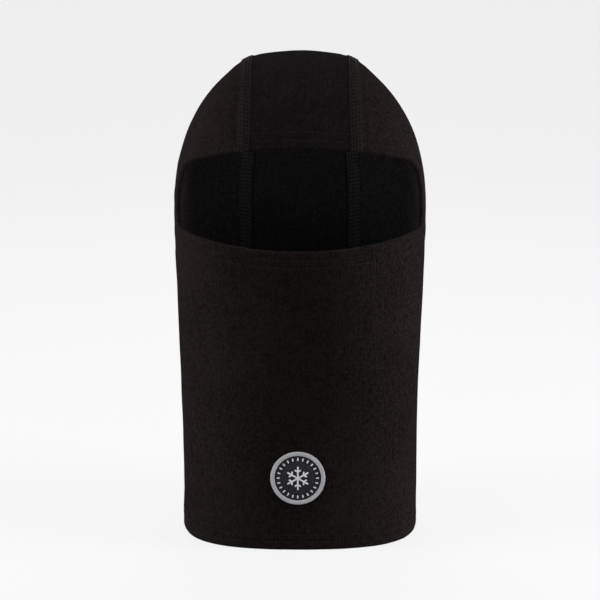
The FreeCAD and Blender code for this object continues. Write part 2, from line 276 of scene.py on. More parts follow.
def on_form_at(x, turn):
    """The form's point in the plane of x, seen from the dome's centre at an angle.

    The angle runs from the front at 0 over the crown to the back at pi.
    """
    x = np.broadcast_to(x, np.broadcast(x, turn).shape)
    near = np.zeros_like(x) + 5 * MM
    far = np.zeros_like(x) + 200 * MM
    for _ in range(40):
        reach = (near + far) / 2
        points = np.stack([x, -reach * np.cos(turn), HEAD_LEVEL + reach * np.sin(turn)], axis=-1)
        out = outside_form(points) > 0
        far = np.where(out, reach, far)
        near = np.where(out, near, reach)
    return points


# ---------------------------------------------------------------- edges and seams
# The eye opening is bounded by a brow curve, a chin curve and upright ends that are
# rounded above. The crown strip lies between two long seams. Both are given as
# distances, so that hems, stitch rows and puckers can follow them.
EYE_TOP = 281.2 * MM
EYE_BOTTOM = 212.2 * MM
BROW_RADIUS = 273 * MM
CHIN_RADIUS = 317 * MM
EYE_END = 31 * MM
BROW_CORNER = 36 * MM
CORNER_BLEND = 5 * MM
EYE_CENTRE_LEVEL = (EYE_TOP + EYE_BOTTOM) / 2


def smooth_max(a, b, blend):
    """The larger of two fields, with a rounded crossing."""
    gap = np.maximum(blend - np.abs(a - b), 0.0) / blend
    return np.maximum(a, b) + gap * gap * blend / 4


def past_opening(points):
    """Distance from the eye opening's edge, positive on the cloth."""
    x, y, z = points[..., 0], points[..., 1], points[..., 2]
    brow = np.hypot(x, z - (EYE_TOP - BROW_RADIUS)) - BROW_RADIUS
    chin = np.hypot(x, z - (EYE_BOTTOM + CHIN_RADIUS)) - CHIN_RADIUS
    beyond = y + EYE_END + BROW_CORNER
    above = z - EYE_TOP + BROW_CORNER
    end = np.hypot(np.maximum(beyond, 0), np.maximum(above, 0)) - BROW_CORNER
    end = end + np.minimum(np.maximum(beyond, above), 0.0)
    arches = smooth_max(brow, chin, CORNER_BLEND)
    return smooth_max(arches, end, CORNER_BLEND)


STRIP_BROW = 38.6 * MM
STRIP_CROWN = 36.3 * MM
STRIP_BACK = 42 * MM
STRIP_STRAIGHT = 21 * MM


def strip_half(points):
    """Half width of the crown strip at a point's level, front or back."""
    y, z = points[..., 1], points[..., 2]
    straight = CROWN_LEVEL - STRIP_STRAIGHT
    front = np.interp(z, [EYE_CENTRE_LEVEL, straight], [STRIP_BROW, STRIP_CROWN])
    back = np.interp(z, [HEAD_LEVEL, straight], [STRIP_BACK, STRIP_CROWN])
    return np.where(y < 0, front, back)


def seam_distance(points):
    """Distance across a long seam from its middle line, positive outside the strip."""
    return np.abs(points[..., 0]) - strip_half(points)


def seam_run(points):
    """Length along a long seam, from the brow over the crown and down the back."""
    y, z = points[..., 1], points[..., 2]
    radius = 0.5 * (CROWN_LEVEL - HEAD_LEVEL + HEAD_OVAL[1])
    over = radius * np.arctan2(np.maximum(z - HEAD_LEVEL, 0), -y)
    below = np.maximum(HEAD_LEVEL - z, 0)
    return np.where(y < 0, over - below, over + below)


def to_flat(points):
    """Unroll points of the form to (length round, length up)."""
    x, y, z = points[..., 0], points[..., 1], points[..., 2]
    length = np.interp(z, MERIDIAN[:, 0], MERIDIAN_LENGTH)
    wide, front, back = [np.interp(z, MERIDIAN[:, 0], MERIDIAN[:, n]) for n in (1, 2, 3)]
    turn = np.arctan2(y / np.where(y < 0, front, back), x / wide)
    turn = np.where(turn > math.pi / 2, turn - 2 * math.pi, turn)
    return np.stack([turn * ROLL_RADIUS, length], axis=-1)


ROLL_RADIUS = 80 * MM
EYE_CENTRE = np.array([
    -math.pi / 2 * ROLL_RADIUS,
    np.interp(EYE_CENTRE_LEVEL, MERIDIAN[:, 0], MERIDIAN_LENGTH),
])


def round_opening(offset, count=1600):
    """A closed track round the eye opening at a distance from its edge."""
    turn = np.arange(count) * 2 * math.pi / count
    ray = np.stack([np.cos(turn), np.sin(turn)], axis=-1)
    near = np.zeros(count)
    far = np.full(count, 160 * MM)
    for _ in range(34):
        reach = (near + far) / 2
        flat = EYE_CENTRE + reach[:, None] * ray
        points = on_form(flat[:, 0] / ROLL_RADIUS, flat[:, 1])
        out = past_opening(points) > offset
        far = np.where(out, reach, far)
        near = np.where(out, near, reach)
    return points


def run_of(track):
    """The length run at each point of a track."""
    return np.concatenate([[0.0], np.cumsum(np.linalg.norm(np.diff(track, axis=0), axis=1))])


def at_lengths(track, length, marks):
    """Points of a track at given lengths."""
    return np.stack([np.interp(marks, length, track[:, n]) for n in range(3)], axis=-1)


def even_steps(points, step, closed=False):
    """Points at an even step along a track."""
    if closed:
        points = np.concatenate([points, points[:1]])
    length = run_of(points)
    count = max(2, int(round(length[-1] / step)))
    marks = np.linspace(0, length[-1], count + 1)
    if closed:
        marks = marks[:-1]
    return at_lengths(points, length, marks)


def oval_depth(share):
    """Depth of the unit oval where its half width is a share of the whole."""
    total = 2 * share + 4 * CORNER_FULLNESS**2 * (1 - share)
    return 1 - (total - np.sqrt(total**2 - 4 * share**2)) / 2


def along_seam(share, offset, count=900):
    """A track along the crown strip, from the brow edge over the crown to the neck hem.

    A share of -1 is the left seam, 0 the middle of the strip and 1 the right seam.
    """
    over = np.linspace(0.30, math.pi, count)
    points = on_form_at(np.full(count, share * (STRIP_CROWN + offset)), over)
    for _ in range(6):
        points = on_form_at(share * (strip_half(points) + offset), over)
    low = np.linspace(HEAD_LEVEL, 0.0, count)[1:]
    x = np.full(count - 1, share * (STRIP_BACK + offset))
    wide = np.interp(low, MERIDIAN[:, 0], MERIDIAN[:, 1])
    back = np.interp(low, MERIDIAN[:, 0], MERIDIAN[:, 3])
    depth = oval_depth(np.abs(x) / wide)
    points = np.concatenate([points, np.stack([x, back * depth, low], axis=-1)])
    edge = past_opening(points)
    first = np.argmax(edge > 0)
    part = edge[first] / (edge[first] - edge[first - 1])
    start = points[first] + part * (points[first - 1] - points[first])
    return np.concatenate([start[None], points[first:]])


# ---------------------------------------------------------------- how the cloth lies
# The knit is brushed, soft and about 2 mm thick. It lies taut, with a fold turned
# in at both hems, a shallow groove under each stitch row, small puckers beside the
# sewing and a few long, faint swells.
CLOTH = 1.8 * MM
HEM_DEEP = 13.5 * MM
HEM_ROWS = (6.2 * MM, 11.4 * MM)
SEAM_BAND = 3.8 * MM
badge_low, badge_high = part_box("badge_base")
BADGE_PLACE = ((badge_low.x + badge_high.x) / 2, (badge_low.z + badge_high.z) / 2)
BADGE_RADIUS = (badge_high.z - badge_low.z) / 2


def bump(distance, width):
    """1 at no distance, falling smoothly to nothing past the width."""
    return np.exp(-((distance / width) ** 2))


def ease(value, low, high):
    """0 below low, 1 above high, smooth between."""
    part = np.clip((value - low) / (high - low), 0.0, 1.0)
    return part * part * (3 - 2 * part)


def wavering(seed, run, shortest, longest, count=7):
    """Uneven waves along a seam or hem, about -1 to 1."""
    pick = random.Random(seed)
    total = np.zeros_like(run)
    for _ in range(count):
        wave = shortest * (longest / shortest) ** pick.random()
        total += math.sqrt(2 / count) * np.sin(2 * math.pi * (run / wave + pick.random()))
    return total / 1.6


def swelling(seed, points, across, up, count=9):
    """Faint swells of the cloth, longer upwards than across."""
    pick = random.Random(seed)
    total = np.zeros(points.shape[:-1])
    for _ in range(count):
        turn = pick.uniform(0, 2 * math.pi)
        rate = 2 * math.pi / (across * pick.uniform(0.7, 1.6))
        climb = 2 * math.pi / (up * pick.uniform(0.7, 1.8)) * pick.choice((-1, 1))
        phase = pick.uniform(0, 2 * math.pi)
        flat = points[..., 0] * math.cos(turn) + points[..., 1] * math.sin(turn)
        total += math.sqrt(2 / count) * np.sin(rate * flat + climb * points[..., 2] + phase)
    return total / 1.6


def hem_shape(edge, run, seed):
    """Height of the cloth near a turned and cover-stitched hem."""
    height = 0.30 * MM * (1 - ease(edge, HEM_DEEP - 1.2 * MM, HEM_DEEP + 2.5 * MM))
    for row in HEM_ROWS:
        height = height - 0.42 * MM * bump(edge - row, 0.75 * MM)
    height = height + 0.10 * MM * bump(edge - 3.2 * MM, 1.6 * MM)
    near = bump(edge - 8.8 * MM, 3.2 * MM)
    past = bump(edge - (HEM_DEEP + 3 * MM), 5.5 * MM)
    height = height + 0.13 * MM * near * wavering(seed, run, 4 * MM, 9 * MM)
    height = height + 0.20 * MM * past * wavering(seed + 1, run, 7 * MM, 18 * MM)
    return height


def seam_shape(across, run, seed):
    """Height of the cloth near a flat seam: a padded band between shallow valleys."""
    away = np.abs(across)
    height = 0.34 * MM * (1 - ease(away, SEAM_BAND - 0.6 * MM, SEAM_BAND + 0.9 * MM))
    height = height - 0.16 * MM * bump(away, 0.35 * MM)
    height = height - 0.22 * MM * bump(away - 5.7 * MM, 1.6 * MM)
    beside = bump(away - 6 * MM, 4.5 * MM)
    height = height + 0.16 * MM * beside * wavering(seed, run, 6 * MM, 15 * MM)
    return height


def fold_shape(points):
    """The few long soft folds."""
    x, y, z = points[..., 0], points[..., 1], points[..., 2]
    front = ease(-y, 20 * MM, 50 * MM)
    slant = (x + 33 * MM) * 0.94 + (z - 47 * MM) * 0.34
    along = bump(z - 26 * MM, 26 * MM)
    crease = 0.55 * MM * front * along * bump(slant, 5.5 * MM)
    slant = (x - 50 * MM) * 0.90 - (z - 95 * MM) * 0.18
    crease += 0.45 * MM * front * bump(z - 100 * MM, 34 * MM) * bump(slant, 9 * MM)
    return crease


def cloth_height(points):
    """Height of the cloth's outer face over the form."""
    edge = past_opening(points)
    across = seam_distance(points)
    z = points[..., 2]
    front = points[..., 1] < 0
    seam_here = ~(front & (z < EYE_BOTTOM + 20 * MM))
    flat = to_flat(points)
    eye_run = np.arctan2(flat[..., 1] - EYE_CENTRE[1], flat[..., 0] - EYE_CENTRE[0]) * 62 * MM
    height = hem_shape(edge, eye_run, 11)
    height = height + hem_shape(z, flat[..., 0], 21)
    height = height + np.where(seam_here, seam_shape(across, seam_run(points), 31), 0.0)
    corner = bump(across, 11 * MM) * ease(z, CROWN_LEVEL - 45 * MM, CROWN_LEVEL - 14 * MM)
    height = height + 1.5 * MM * corner
    flat_top = bump(points[..., 0], 30 * MM) * ease(z, CROWN_LEVEL - 16 * MM, CROWN_LEVEL)
    height = height - 2.4 * MM * flat_top
    free = ease(edge, 10 * MM, 45 * MM) * ease(z, 8 * MM, 40 * MM)
    height = height + 0.42 * MM * free * swelling(41, points, 70 * MM, 170 * MM)
    height = height + 0.10 * MM * swelling(42, points, 24 * MM, 40 * MM) + fold_shape(points)
    from_badge = np.hypot(points[..., 0] - BADGE_PLACE[0], z - BADGE_PLACE[1])
    stiff = front * (1 - ease(from_badge, BADGE_RADIUS, BADGE_RADIUS + 14 * MM))
    return height * (1 - 0.85 * stiff)


def inner_height(points):
    """Height of the cloth's inner face over the form, always below it.

    Hems are two layers thick. The seams' lapped edges stand inwards as a band with
    a narrow valley beside it.
    """
    edge = np.minimum(past_opening(points), points[..., 2])
    across = seam_distance(points)
    hem = 1 - ease(edge, HEM_DEEP - 0.25 * MM, HEM_DEEP + 0.45 * MM)
    seam_here = (points[..., 1] > 0) | (points[..., 2] > EYE_TOP)
    band = seam_here * (1 - hem) * (1 - ease(np.abs(across), 4.2 * MM, 4.8 * MM))
    valley = seam_here * (1 - hem) * bump(across + 5.4 * MM, 0.60 * MM)
    wall = CLOTH * (1 + hem) - 0.12 * MM * swelling(51, points, 16 * MM, 26 * MM)
    return 0.6 * cloth_height(points) - wall - 0.8 * MM * band + 1.3 * MM * valley


def rolled(edge):
    """How far the outer face has turned inwards at a distance from a fold."""
    short = np.clip(CLOTH - edge, 0.0, CLOTH)
    return CLOTH - np.sqrt(np.maximum(CLOTH**2 - short**2, 0.0))


def faces_of(corner_lists):
    """Triangles of a mesh whose faces have three or four corners."""
    triangles = []
    for corners in corner_lists:
        triangles.append(corners[:3])
        if len(corners) == 4:
            triangles.append((corners[0], corners[2], corners[3]))
    return np.array(triangles)


def mesh_normals(points, faces):
    """Unit normals at the points, weighted by area."""
    triangles = faces_of(faces)
    a, b, c = (points[triangles[:, n]] for n in range(3))
    area = np.cross(b - a, c - a)
    normals = np.zeros_like(points)
    for corner in range(3):
        np.add.at(normals, triangles[:, corner], area)
    return normals / np.linalg.norm(normals, axis=1)[:, None]


def open_edges(faces):
    """Directed edges that only one face uses."""
    seen = {}
    for corners in faces:
        for a, b in zip(corners, corners[1:] + corners[:1]):
            seen[(a, b)] = True
    return [(a, b) for a, b in seen if (b, a) not in seen]


def closing_faces(faces, count):
    """The far faces and the edge faces that close a sheet of count points into a shell."""
    back = [tuple(corner + count for corner in reversed(corners)) for corners in faces]
    sides = [(b, a, a + count, b + count) for a, b in open_edges(faces)]
    return back, sides


def turn_faces_out(mesh, merge=0.0):
    """Merge points closer than merge and turn every face outwards."""
    sorted_mesh = bmesh.new()
    sorted_mesh.from_mesh(mesh)
    if merge:
        bmesh.ops.remove_doubles(sorted_mesh, verts=sorted_mesh.verts, dist=merge)
    bmesh.ops.recalc_face_normals(sorted_mesh, faces=sorted_mesh.faces)
    sorted_mesh.to_mesh(mesh)
    sorted_mesh.free()


def cloth_piece(name, points, faces):
    """A cloth piece with an outer face, an inner face and closed edges."""
    normals = mesh_normals(points, faces)
    if np.median(np.sum(normals * (points - (0, 0, HEAD_LEVEL / 2)), axis=1)) < 0:
        normals = -normals
        faces = [face[::-1] for face in faces]
    edge = np.minimum(past_opening(points), points[:, 2])
    height = cloth_height(points)
    outer = height - rolled(edge)
    short = np.clip(CLOTH - edge, 0.0, CLOTH)
    fold = height - CLOTH - np.sqrt(np.maximum(CLOTH**2 - short**2, 0.0))
    inner = np.where(edge < CLOTH, fold, inner_height(points))
    shell = np.concatenate([points + normals * outer[:, None], points + normals * inner[:, None]])
    back, sides = closing_faces(faces, len(points))
    piece = new_piece(name, shell.tolist(), list(faces) + back + sides)
    mesh = piece.data
    turned_in = edge < HEM_DEEP
    reverse = [0 if all(turned_in[corner] for corner in corners) else 1 for corners in faces]
    mesh.polygons.foreach_set("material_index", [0] * len(faces) + reverse + [0] * len(sides))
    turn_faces_out(mesh, 0.02 * MM)
    return piece


# ---------------------------------------------------------------- knit finish
# Near-black brushed jersey: fine upright wales, a short soft nap and slight unevenness of
# the dye, with painted shade that darkens the middle of the front and the dips of the knit.
# The crown strip's cloth is the same knit painted a shade darker, and the reverse of both
# is a greyer, fluffier fleece.
# Half width of the band of painted shade down the middle of the front.
PAINTED_SHADE_HALF = 34 * MM


def new_group(name, inputs, outputs):
    """An empty shader group with named sockets."""
    group = bpy.data.node_groups.new(name, "ShaderNodeTree")
    for label, kind, value in inputs:
        socket = group.interface.new_socket(label, in_out="INPUT", socket_type=kind)
        if value is not None:
            socket.default_value = value
    for label, kind in outputs:
        group.interface.new_socket(label, in_out="OUTPUT", socket_type=kind)
    return group, group.nodes.new("NodeGroupInput"), group.nodes.new("NodeGroupOutput")


def maths(tree, operation, *values):
    """A Math node whose inputs are numbers or sockets."""
    node = tree.nodes.new("ShaderNodeMath")
    node.operation = operation
    for number, value in enumerate(values):
        if isinstance(value, (int, float)):
            node.inputs[number].default_value = value
        else:
            tree.links.new(value, node.inputs[number])
    return node.outputs[0]


def noise(tree, where, scale, detail, roughness=0.5):
    """Cloudy noise of a given scale, about 0 to 1."""
    node = tree.nodes.new("ShaderNodeTexNoise")
    node.inputs["Detail"].default_value = detail
    node.inputs["Roughness"].default_value = roughness
    if isinstance(scale, (int, float)):
        node.inputs["Scale"].default_value = scale
    else:
        tree.links.new(scale, node.inputs["Scale"])
    tree.links.new(where, node.inputs["Vector"])
    return node.outputs["Fac"]


def sums(group):
    """Shorthands for a group: a product, a sum and the piece's own coordinates."""
    def times(a, b):
        return maths(group, "MULTIPLY", a, b)

    def plus(a, b):
        return maths(group, "ADD", a, b)

    return times, plus, group.nodes.new("ShaderNodeTexCoord").outputs["Object"]


def split_map(group, name):
    """The two lengths of a named map, in metres."""
    map_node = group.nodes.new("ShaderNodeUVMap")
    map_node.uv_map = name
    split = group.nodes.new("ShaderNodeSeparateXYZ")
    group.links.new(map_node.outputs["UV"], split.inputs[0])
    return split


def two_tone(tree, factor, deep, pale, low=0.0, high=1.0):
    """A ramp between two colours."""
    ramp = tree.nodes.new("ShaderNodeValToRGB")
    for element, place, colour in zip(ramp.color_ramp.elements, (low, high), (deep, pale)):
        element.position = place
        element.color = (*colour, 1.0)
    tree.links.new(factor, ramp.inputs["Fac"])
    return ramp.outputs["Color"]


def raise_grain(tree, shader, height, strength, distance):
    """Fine relief on a shader's normal."""
    bumper = tree.nodes.new("ShaderNodeBump")
    bumper.inputs["Strength"].default_value = strength
    bumper.inputs["Distance"].default_value = distance
    tree.links.new(height, bumper.inputs["Height"])
    tree.links.new(bumper.outputs["Normal"], shader.inputs["Normal"])


def place_group(tree, group):
    """A shader group placed in a material."""
    node = tree.nodes.new("ShaderNodeGroup")
    node.node_tree = group
    return node


def make_knit_group():
    """Wales, courses and nap as one height, the dye's unevenness, and a band of painted shade down the
    middle of the front.
    """
    group, take, give = new_group(
        "brushed_knit",
        [
            ("Wales per metre", "NodeSocketFloat", 700.0),
            ("Courses per metre", "NodeSocketFloat", 850.0),
            ("Nap", "NodeSocketFloat", 0.6),
        ],
        [("Height", "NodeSocketFloat"), ("Unevenness", "NodeSocketFloat"), ("Painted centre shade", "NodeSocketFloat")],
    )
    times, plus, place = sums(group)
    split = split_map(group, "cloth")
    stray = times(plus(noise(group, place, 420.0, 2.0), -0.5), 1.6)
    wale = plus(times(split.outputs[0], take.outputs["Wales per metre"]), stray)
    course = times(split.outputs[1], take.outputs["Courses per metre"])
    column = maths(group, "ABSOLUTE", maths(group, "SINE", times(wale, math.pi)))
    turn = times(plus(course, times(column, 0.45)), 2 * math.pi)
    loop = plus(times(maths(group, "SINE", turn), 0.5), 0.5)
    stitch = plus(times(column, 0.7), times(loop, 0.3))
    fine = noise(group, place, 2600.0, 4.0, 0.7)
    tuft = noise(group, place, 700.0, 3.0, 0.6)
    nap = plus(times(fine, 0.55), times(tuft, 0.45))
    keep = maths(group, "SUBTRACT", 1.0, take.outputs["Nap"])
    height = plus(times(stitch, keep), times(nap, take.outputs["Nap"]))
    group.links.new(height, give.inputs["Height"])
    broad = times(noise(group, place, 14.0, 2.0), 0.16)
    patch = times(noise(group, place, 170.0, 2.0, 0.65), 0.10)
    grain = times(noise(group, place, 470.0, 4.0, 0.8), 0.74)
    group.links.new(plus(plus(broad, patch), grain), give.inputs["Unevenness"])
    # Painted shade: a soft band down the middle of the front, strongest at x = 0, on the front half
    # only.
    spot = group.nodes.new("ShaderNodeSeparateXYZ")
    group.links.new(place, spot.inputs[0])
    drift = times(plus(noise(group, place, 16.0, 2.0), -0.5), 0.05)
    aside = maths(group, "DIVIDE", plus(spot.outputs[0], drift), PAINTED_SHADE_HALF)
    middle = maths(group, "EXPONENT", times(times(aside, aside), -1.0))
    in_front = maths(group, "LESS_THAN", spot.outputs[1], 0.0)
    group.links.new(times(middle, in_front), give.inputs["Painted centre shade"])
    return group


knit_group = make_knit_group()


def knit_material(name, deep, pale, nap, sheen, painted_centre_shade=1.0):
    """Brushed knit between two close colours, with painted shade: darker in the knit's dips and down
    the middle of the front.
    """
    material, tree, shader = new_finish(name)
    knit = place_group(tree, knit_group)
    knit.inputs["Nap"].default_value = nap
    # Painted shade, partly the nap's own tone: the colour is multiplied by the knit's height, darker
    # in the dips between loops and tufts.
    shade = tree.nodes.new("ShaderNodeMix")
    shade.data_type = "RGBA"
    shade.blend_type = "MULTIPLY"
    shade.inputs[0].default_value = 0.8
    dye = two_tone(tree, knit.outputs["Unevenness"], deep, pale, 0.40, 0.60)
    tree.links.new(dye, shade.inputs[6])
    tree.links.new(knit.outputs["Height"], shade.inputs[7])
    # Painted shade: down the middle of the front the colour is scaled down to the last argument's
    # share.
    painted_shade_scale = tree.nodes.new("ShaderNodeMapRange")
    painted_shade_scale.inputs["To Min"].default_value = 1.0
    painted_shade_scale.inputs["To Max"].default_value = painted_centre_shade
    tree.links.new(knit.outputs["Painted centre shade"], painted_shade_scale.inputs["Value"])
    painted_shade_colour = tree.nodes.new("ShaderNodeVectorMath")
    painted_shade_colour.operation = "SCALE"
    tree.links.new(shade.outputs[2], painted_shade_colour.inputs[0])
    tree.links.new(painted_shade_scale.outputs["Result"], painted_shade_colour.inputs["Scale"])
    tree.links.new(painted_shade_colour.outputs[0], shader.inputs["Base Color"])
    raise_grain(tree, shader, knit.outputs["Height"], 1.0, 0.5 * MM)
    shader.inputs["Roughness"].default_value = 0.95
    shader.inputs["Specular IOR Level"].default_value = 0.0
    shader.inputs["Sheen Weight"].default_value = sheen
    shader.inputs["Sheen Roughness"].default_value = 0.42
    shader.inputs["Sheen Tint"].default_value = (0.93, 0.90, 0.92, 1.0)
    return material


# The wrap panel's last number, 0.74, is the share of its colour that the painted shade leaves down the
# middle of the front.
knit_cloth = knit_material(
    "knit_cloth", (0.0050, 0.0039, 0.0038), (0.0138, 0.0108, 0.0103), 0.45, 0.004, 0.74)
# The crown strip's two finishes are the knit's with darker colours: painted shade on the strip,
# outside and on its reverse.
strip_cloth_painted_shade = knit_material(
    "strip_cloth_painted_shade", (0.0032, 0.0027, 0.0029), (0.0088, 0.0075, 0.0080), 0.40, 0.003)
knit_reverse = knit_material(
    "knit_reverse", (0.032, 0.0288, 0.0296), (0.078, 0.0700, 0.0716), 0.75, 0.01)
strip_reverse_painted_shade = knit_material(
    "strip_reverse_painted_shade", (0.027, 0.0257, 0.0260), (0.066, 0.0630, 0.0636), 0.70, 0.008)


def map_cloth(piece):
    """Lay the knit's lengths on a cloth piece: round and up, in metres."""
    mesh = piece.data
    layer = mesh.uv_layers.new(name="cloth")
    points = np.zeros(len(mesh.vertices) * 3)
    mesh.vertices.foreach_get("co", points)
    flat = to_flat(points.reshape(-1, 3))
    if piece.name.startswith("crown"):
        points = points.reshape(-1, 3)
        flat = np.stack([points[:, 0], seam_run(points)], axis=-1)
    corners = np.zeros(len(mesh.loops), dtype=np.int32)
    mesh.loops.foreach_get("vertex_index", corners)
    layer.data.foreach_set("uv", flat[corners].ravel())


# ---------------------------------------------------------------- wrap panel
# One cut piece of knit makes the front, both sides and the outer parts of the
# back. It is joined to the crown strip by two long flat seams, and its edges at
# the eyes and neck are turned in once and cover-stitched.
FINE_STEP = 1.5 * MM
OPEN_STEP = 2.3 * MM
HEM_TRACKS = [0.22, 0.6, 1.1, 1.8, 2.7, 3.8, 4.8, 5.4, 5.8, 6.2, 6.6, 7.1, 7.9, 8.8, 9.7,
              10.5, 11.0, 11.4, 11.8, 12.4, 13.2, 13.7, 14.3, 15.6, 17.2]
SEAM_TRACKS = [0.3, 0.7, 1.4, 2.3, 2.9, 3.4, 3.8, 4.2, 4.6, 4.9, 5.2, 5.5, 5.9, 6.8, 8.4]


def wrap_outline():
    """The panel's edge, once round: hem, right seam, eye opening, left seam."""
    right = even_steps(along_seam(1, 0.0), FINE_STEP)[::-1]
    left = even_steps(along_seam(-1, 0.0), FINE_STEP)
    eye = round_opening(0.0)
    outside = (eye[:, 2] < EYE_CENTRE_LEVEL) | (np.abs(eye[:, 0]) > np.abs(right[-1][0]))
    start = np.argmax(outside & ~np.roll(outside, 1))
    eye = np.roll(eye, -start, axis=0)[: np.count_nonzero(outside)]
    if eye[0][0] < 0:
        eye = eye[::-1]
    eye = even_steps(eye, FINE_STEP)[1:-1]
    hem_turn = np.linspace(to_flat(left[-1])[0], to_flat(right[0])[0], 300)[1:-1]
    flat_hem = np.stack([hem_turn, np.zeros_like(hem_turn)], axis=-1)
    flats = [flat_hem, to_flat(right), to_flat(eye), to_flat(left)]
    return np.concatenate(flats)


def wrap_points():
    """Points inside the panel: rows beside each edge, then an even field."""
    last_hem = HEM_TRACKS[-1] * MM
    last_seam = SEAM_TRACKS[-1] * MM
    margin = 0.55 * OPEN_STEP
    fields = []
    for offset in HEM_TRACKS:
        offset = offset * MM
        step = FINE_STEP if offset < 14 * MM else OPEN_STEP
        track = even_steps(round_opening(offset), step, closed=True)
        across = seam_distance(track)
        above = track[:, 2] > EYE_CENTRE_LEVEL
        keep = ~above | (across > np.minimum(offset, last_seam + margin) + 0.1 * MM)
        fields.append(to_flat(track[keep]))
        turn = np.linspace(-math.pi - 1.6, 1.6, int(460 * MM / step))
        length = np.interp(offset, MERIDIAN[:, 0], MERIDIAN_LENGTH)
        track = on_form(turn, length)
        across = seam_distance(track)
        keep = (track[:, 1] < 0) | (across > np.minimum(offset, last_seam + margin) + 0.1 * MM)
        flat = np.stack([turn * ROLL_RADIUS, np.full_like(turn, length)], axis=-1)
        fields.append(flat[keep])
    for offset in SEAM_TRACKS:
        offset = offset * MM
        for side in (-1, 1):
            track = even_steps(along_seam(side, offset), FINE_STEP)
            keep = (past_opening(track) > offset + 0.1 * MM) & (track[:, 2] > offset + 0.1 * MM)
            fields.append(to_flat(track[keep]))
    rows = int(MERIDIAN_LENGTH[-1] / (OPEN_STEP * 0.87))
    for row in range(rows):
        length = row * OPEN_STEP * 0.87
        shift = 0.5 * OPEN_STEP * (row % 2)
        round_length = np.arange(-4.8 * ROLL_RADIUS, 1.7 * ROLL_RADIUS, OPEN_STEP) + shift
        points = on_form(round_length / ROLL_RADIUS, length)
        seam_clear = seam_distance(points) > last_seam + margin
        seam_clear |= (points[:, 1] < 0) & (points[:, 2] < EYE_CENTRE_LEVEL)
        keep = seam_clear & (past_opening(points) > last_hem + margin)
        keep &= points[:, 2] > last_hem + margin
        flat = np.stack([round_length, np.full_like(round_length, length)], axis=-1)
        fields.append(flat[keep])
    return np.concatenate(fields)


def make_wrap_panel():
    """The panel, meshed flat between its outline and its rows and then rolled up."""
    outline = wrap_outline()
    inside = wrap_points()
    flat = [Vector(point) for point in np.concatenate([outline, inside])]
    loop = list(range(len(outline)))
    made = delaunay_2d_cdt(flat, [], [loop], 1, 1e-7)
    corners = np.array([tuple(point) for point in made[0]])
    points = on_form(corners[:, 0] / ROLL_RADIUS, corners[:, 1])
    return cloth_piece("wrap_panel_knit", points, [tuple(face) for face in made[2]])


wrap_panel = make_wrap_panel()
map_cloth(wrap_panel)
wrap_panel.data.materials.append(knit_cloth)
wrap_panel.data.materials.append(knit_reverse)
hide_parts("wrap_panel")
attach(wrap_panel, "hood")


# ---------------------------------------------------------------- crown strip
# A second cut of the same knit runs from the brow over the crown and down the back
# to the neck hem, between the two long seams, its colours painted darker as shade.
# Its hems are turned in like the wrap panel's and share the same stitch rows.
STRIP_ROWS = 205


def grid_faces(rows, columns):
    """Four-cornered faces over a grid of points given row by row."""
    corners = [row * columns + column for row in range(rows - 1) for column in range(columns - 1)]
    return [(c, c + 1, c + columns + 1, c + columns) for c in corners]


def strip_columns():
    """(share, offset) of the strip's columns, close together beside the seams."""
    last = -SEAM_TRACKS[-1] * MM
    right = [(1, 0.0)] + [(1, -track * MM) for track in SEAM_TRACKS]
    middle = [(share, last) for share in np.linspace(1, -1, 28)[1:-1]]
    return right + middle + [(-share, offset) for share, offset in reversed(right)]


def strip_column(share, offset):
    """Points down one column, close together at both hems."""
    track = along_seam(share, offset)
    length = run_of(track)
    hems = np.array([0.0] + HEM_TRACKS) * MM
    near = length < 40 * MM
    first = np.interp(hems, past_opening(track[near]), length[near])
    last = np.interp(hems, track[::-1, 2][: len(track) // 3], length[::-1][: len(track) // 3])[::-1]
    middle = np.linspace(first[-1], last[0], STRIP_ROWS)[1:-1]
    return at_lengths(track, length, np.concatenate([first, middle, last]))


def make_crown_strip():
    """The strip as a grid of columns from brow to neck."""
    columns = np.stack([strip_column(*column) for column in strip_columns()])
    across, along = columns.shape[:2]
    return cloth_piece("crown_strip_knit", columns.reshape(-1, 3), grid_faces(across, along))


crown_strip = make_crown_strip()
map_cloth(crown_strip)
crown_strip.data.materials.append(strip_cloth_painted_shade)
crown_strip.data.materials.append(strip_reverse_painted_shade)
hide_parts("crown_strip")
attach(crown_strip, "hood")


# ---------------------------------------------------------------- sewing thread
# All sewing is twisted polyester thread a third of a millimetre thick, a little
# smoother than the brushed knit: black, but charcoal for the loopers inside. A
# thread is a tube that rides on the cloth and dips into it at each stitch.
THREAD = 0.17 * MM
STITCH_TOP = np.array([0.10, 0.28, 0.34, 0.34, 0.34, 0.28, 0.10, 0.0, 0.0, 0.0]) * MM
STITCH_INSIDE = np.array([0, 0, 0, 0, 0, 0, 0, 1, 1, 1], dtype=bool)


def form_normals(points):
    """Outward directions of the form at points on it."""
    flat = to_flat(points)
    turn, length = flat[..., 0] / ROLL_RADIUS, flat[..., 1]
    around = on_form(turn + 0.004, length) - on_form(turn - 0.004, length)
    up = on_form(turn, length + 0.3 * MM) - on_form(turn, length - 0.3 * MM)
    normals = np.cross(around, up)
    return normals / np.linalg.norm(normals, axis=-1)[..., None]


